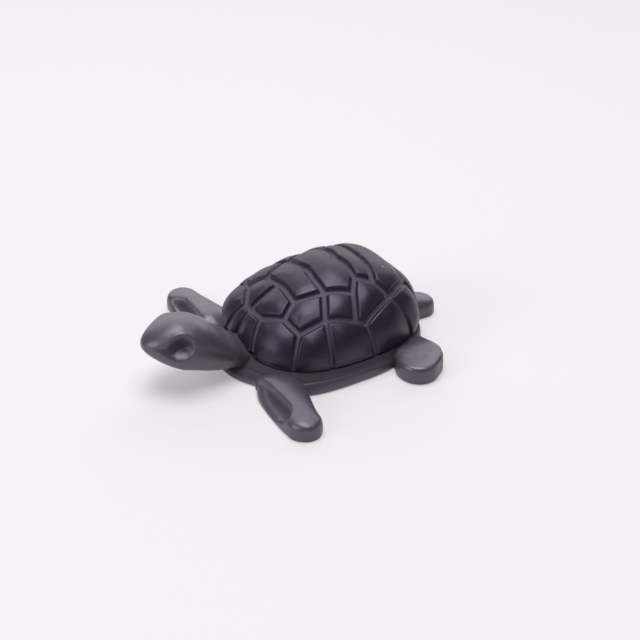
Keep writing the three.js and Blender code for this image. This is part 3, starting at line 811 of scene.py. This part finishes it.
swollen = add_node(relief, "ShaderNodeMath", {0: given["Pad swell"], 1: swell.outputs["Attribute"]},
                   operation="MULTIPLY")
lift = add_node(relief, "ShaderNodeMath", {0: swollen.outputs[0], 1: sunk.outputs[0]}, operation="SUBTRACT")
offset = add_node(relief, "ShaderNodeVectorMath", {
    0: outward.outputs["Attribute"], "Scale": lift.outputs[0]}, operation="SCALE")
filmed = add_node(relief, "GeometryNodeStoreNamedAttribute", {
    "Geometry": given["Dome"], "Name": "recess", "Value": taken_together("MAXIMUM", films)},
    data_type="FLOAT")
moved = add_node(relief, "GeometryNodeSetPosition", {
    "Geometry": filmed.outputs[0], "Offset": offset.outputs[0]})
real = add_node(relief, "GeometryNodeRealizeInstances", {"Geometry": moved.outputs[0]})
skinned = add_node(relief, "GeometryNodeSetMaterial", {
    "Geometry": real.outputs[0], "Material": given["Vinyl"]})
add_node(relief, "NodeGroupOutput", {"Shell": skinned.outputs[0]})


def rim_tilt(bearing):
    """The tilt at the shell's lower edge: a quarter turn, less where the edge arches over the neck."""
    swing = np.abs((bearing + math.pi) % (2 * math.pi) - math.pi)
    return math.pi / 2 * (1 - neck_notch * np.sqrt(np.maximum(0, 1 - (swing / notch_reach) ** 2)))


# The outside is a square grid spread over the dome, so that its faces stay even at the crown.
across = np.linspace(-1, 1, dome_cells + 1)
p, q = np.meshgrid(across, across, indexing="ij")
wide = np.abs(p) > np.abs(q)
spread = np.where(wide, p, q)
with np.errstate(divide="ignore", invalid="ignore"):
    bearing = np.where(wide, math.pi / 4 * np.nan_to_num(q / p),
                       math.pi / 2 - math.pi / 4 * np.nan_to_num(p / q))
bearing = bearing + np.where(spread < 0, math.pi, 0)
tilt = np.abs(spread) * rim_tilt(bearing)
outer = dome_place(tilt, bearing).reshape(-1, 3)
outer_square = dome_outward(tilt, bearing).reshape(-1, 3)
side = dome_cells + 1
faces = []
for i in range(dome_cells):
    for j in range(dome_cells):
        corner = i * side + j
        faces.append((corner, corner + side, corner + side + 1, corner + 1))
edge = [i * side for i in range(dome_cells)]
edge += [dome_cells * side + j for j in range(dome_cells)]
edge += [(dome_cells - i) * side + dome_cells for i in range(dome_cells)]
edge += [dome_cells - j for j in range(dome_cells)]
edge_bearing = bearing.reshape(-1)[edge]
edge_tilt = rim_tilt(edge_bearing)
inner_layers = [(edge_tilt, outer_bevel), (edge_tilt, shell_wall - inner_bevel)]
inner_layers += [(edge_tilt * (1 - row / inner_rows), shell_wall) for row in range(inner_rows)]
rings = [dome_place(tilt, edge_bearing) - dome_outward(tilt, edge_bearing) * drawn_in
         for tilt, drawn_in in inner_layers]
points = np.concatenate([outer, *rings, [(shell_middle, 0, crown_height - shell_wall)]])
start = len(outer)
count = len(edge)
for i in range(count):
    after = (i + 1) % count
    faces.append((edge[i], start + i, start + after, edge[after]))
    for row in range(len(rings) - 1):
        low = start + row * count
        faces.append((low + i, low + count + i, low + count + after, low + after))
    last = start + (len(rings) - 1) * count
    faces.append((last + i, len(points) - 1, last + after))
carapace = new_piece("carapace_cap", points, faces, shell_vinyl)
swell = carapace.data.attributes.new("swell", "FLOAT", "POINT")
swell.data.foreach_set("value", np.concatenate([1 - smooth(*swell_fade, np.abs(spread)).reshape(-1),
                                                np.zeros(len(points) - start)]))
outward = carapace.data.attributes.new("outward", "FLOAT_VECTOR", "POINT")
outward.data.foreach_set("vector", np.concatenate([outer_square, outer_square[edge],
                                                   np.zeros((len(points) - start - count, 3))]).reshape(-1))
modifier = carapace.modifiers.new("scute_relief", "NODES")
modifier.node_group = relief
for identifier, value in shell_inputs.items():
    modifier[identifier] = value
bpy.context.view_layer.update()
finished = bpy.data.meshes.new_from_object(carapace.evaluated_get(bpy.context.evaluated_depsgraph_get()))
carapace.modifiers.clear()
carapace.data = finished
for line in seam_lines.values():
    bpy.data.objects.remove(line)
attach(carapace, "root")
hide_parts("carapace")

# Table and light: a pale matt table top under a soft lamp overhead, with a panel by the head, at the
# picture's left, and a wide one behind. The camera looks from the turtle's left and front, a little above
# it, as the photograph was taken. Sizes and places in this section are in metres.
table_size = 8.0
table_colour = colour("#dcd8dd")
table_roughness = 0.9
table_shine = 0.1
glow_colour = colour("#f4eff5")
glow_share = 0.36
room_colour = colour("#f7f5fa")
room_strength = 0.08
lamps = (
    ("overhead_softbox", (0.02, 0.0, 0.74), 0.6, 0.5, 5.6),
    ("left_panel", (0.9, 0.0, 0.45), 0.5, 0.5, 3.0),
    ("back_panel", (-0.7, -1.22, 0.8), 2.8, 1.4, 19.0),
)
view_direction = Vector((0.4272, 0.7400, 0.5195))
view_distance = 0.2167
half = table_size / 2
table_mesh = bpy.data.meshes.new("table_top")
table_mesh.from_pydata([(-half, -half, 0), (half, -half, 0), (half, half, 0), (-half, half, 0)], [],
                       [(0, 1, 2, 3)])
table = bpy.data.objects.new("table_top", table_mesh)
bpy.context.scene.collection.objects.link(table)

# A matt white laminate, without gloss or grain. What the camera and reflections see of it is mixed with a
# pale glow, so that it shows near-white without more light on the turtle, and it keeps the shadow.
laminate = bpy.data.materials.new("matt_white_table")
laminate.use_nodes = True
tree = laminate.node_tree
shader = tree.nodes["Principled BSDF"]
shader.inputs["Base Color"].default_value = table_colour
shader.inputs["Roughness"].default_value = table_roughness
shader.inputs["Specular IOR Level"].default_value = table_shine
glow = add_node(tree, "ShaderNodeEmission", {"Color": glow_colour})
ray = add_node(tree, "ShaderNodeLightPath").outputs
mirrored = add_node(tree, "ShaderNodeMath", {0: ray["Is Glossy Ray"], 1: ray["Is Transmission Ray"]},
                    operation="MAXIMUM")
seen = add_node(tree, "ShaderNodeMath", {0: ray["Is Camera Ray"], 1: mirrored.outputs[0]},
                operation="MAXIMUM")
share = add_node(tree, "ShaderNodeMath", {0: seen.outputs[0], 1: glow_share}, operation="MULTIPLY")
brightened = add_node(tree, "ShaderNodeMixShader", {
    0: share.outputs[0], 1: shader.outputs[0], 2: glow.outputs[0]})
tree.links.new(brightened.outputs[0], tree.nodes["Material Output"].inputs["Surface"])
table_mesh.materials.append(laminate)

world = bpy.data.worlds.new("pale_room")
world.use_nodes = True
world.node_tree.nodes["Background"].inputs["Color"].default_value = room_colour
world.node_tree.nodes["Background"].inputs["Strength"].default_value = room_strength
bpy.context.scene.world = world

for name, place, width, depth, watts in lamps:
    lamp_data = bpy.data.lights.new(name, "AREA")
    lamp_data.shape = "RECTANGLE"
    lamp_data.size = width
    lamp_data.size_y = depth
    lamp_data.energy = watts
    lamp = bpy.data.objects.new(name, lamp_data)
    lamp.location = place
    lamp.rotation_euler = (-Vector(place)).to_track_quat("-Z", "Y").to_euler()
    bpy.context.scene.collection.objects.link(lamp)

camera_data = bpy.data.cameras.new("camera")
camera_data.lens = 73.1
camera_data.shift_x = -0.0122
camera_data.shift_y = 0.0283
camera_data.clip_start = 0.01
camera = bpy.data.objects.new("camera", camera_data)
camera.location = view_direction * view_distance
camera.rotation_euler = (-view_direction).to_track_quat("-Z", "Y").to_euler()
bpy.context.scene.collection.objects.link(camera)
bpy.context.scene.camera = camera
bpy.context.scene.view_settings.view_transform = "Standard"
